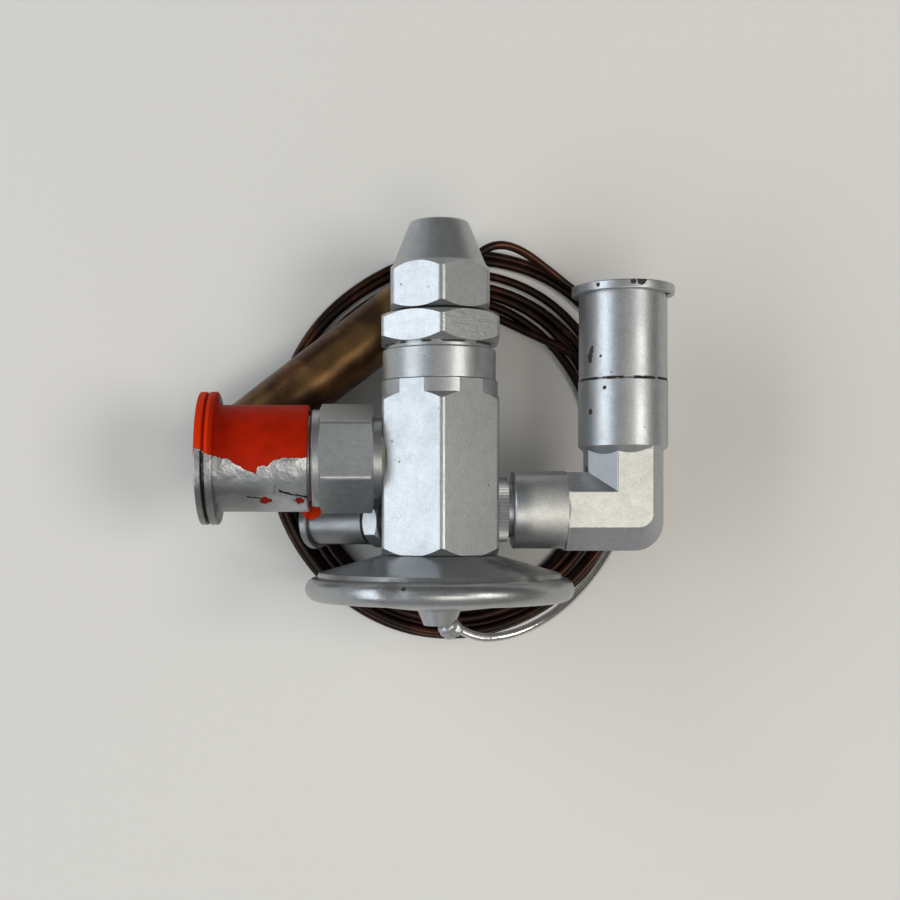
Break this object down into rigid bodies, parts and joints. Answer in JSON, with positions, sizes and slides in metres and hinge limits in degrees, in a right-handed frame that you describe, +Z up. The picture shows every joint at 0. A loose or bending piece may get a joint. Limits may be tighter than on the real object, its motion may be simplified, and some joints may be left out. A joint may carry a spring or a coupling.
{
  "type": "thermostatic expansion valve",
  "caption": "Silver-painted refrigerant expansion valve with elbow inlet, side outlet, dust caps, domed power head, coiled capillary tube and copper sensing bulb.",
  "frame": {"origin": "on the table, under the middle of the valve's bounding box without its capillary tube, coil and bulb", "axes": "+Z up; the valve's stem axis runs along +Y from power head to seal cap; the outlet points along -X and the inlet's threaded nose along +Y"},
  "size_m": [0.1253, 0.118, 0.07],
  "materials": {
    "silver_paint": "satin silver paint over brass",
    "orange_plastic": "satin",
    "painted_plastic": "silver paint over plastic",
    "copper": "dark tarnished copper",
    "brass": "machined",
    "steel": "ground",
    "seal": "matt",
    "fibre": "matt"
  },
  "bodies": {
    "valve": {"valve_body": "silver_paint", "rod_guide": "brass", "valve_seat": "steel", "outlet_adapter": "silver_paint", "outlet_seal_ring": "fibre", "inlet_elbow": "silver_paint", "elbow_lock_ring": "silver_paint", "elbow_seal_ring": "fibre", "inlet_strainer": "steel", "equalizer_fitting": "silver_paint", "equalizer_dust_cap": "orange_plastic", "adjuster_housing": "silver_paint", "lock_nut": "silver_paint", "seal_cap_gasket": "fibre", "stem_packing": "seal", "packing_gland": "brass", "superheat_spring": "steel", "head_base_cup": "silver_paint", "head_cover_cup": "silver_paint", "diaphragm": "steel", "head_gasket": "fibre", "capillary_boss": "silver_paint", "braze_fillet": "silver_paint", "capillary_lead": "copper", "capillary_coil": "copper", "capillary_tail": "copper", "sensing_bulb": "copper"},
    "outlet_cap": {"outlet_dust_cap": "orange_plastic"},
    "inlet_cap": {"inlet_dust_cap": "painted_plastic"},
    "seal_cap": {"seal_cap": "silver_paint"},
    "stem": {"adjusting_stem": "steel"},
    "spring_nut": {"spring_seat": "brass"},
    "pin": {"pin_carrier": "brass", "valve_pin": "steel", "push_rods": "steel", "buffer_plate": "brass"}
  },
  "joints": [
    {"name": "outlet_cap_slide", "type": "slide", "parent": "valve", "child": "outlet_cap", "axis": [-1, 0, 0], "range_m": [0, 0.036]},
    {"name": "inlet_cap_slide", "type": "slide", "parent": "valve", "child": "inlet_cap", "axis": [0, 1, 0], "range_m": [0, 0.032]},
    {"name": "seal_cap_slide", "type": "slide", "parent": "valve", "child": "seal_cap", "axis": [0, 1, 0], "range_m": [0, 0.03]},
    {"name": "stem_turn", "type": "hinge", "parent": "valve", "child": "stem", "pos_m": [0.00038, 0, 0.035], "axis": [0, 1, 0], "range_deg": [-720, 1440]},
    {"name": "spring_nut_slide", "type": "slide", "parent": "valve", "child": "spring_nut", "axis": [0, 1, 0], "range_m": [-0.002, 0.004], "deforming": ["superheat_spring"]},
    {"name": "pin_lift", "type": "slide", "parent": "valve", "child": "pin", "axis": [0, 1, 0], "range_m": [0, 0.0008], "stiffness_N_per_m": 5000, "deforming": ["diaphragm"]}
  ],
  "couplings": [
    {"joint": "stem_turn", "follows": "spring_nut_slide", "rad_per_m": 6283.2}
  ]
}
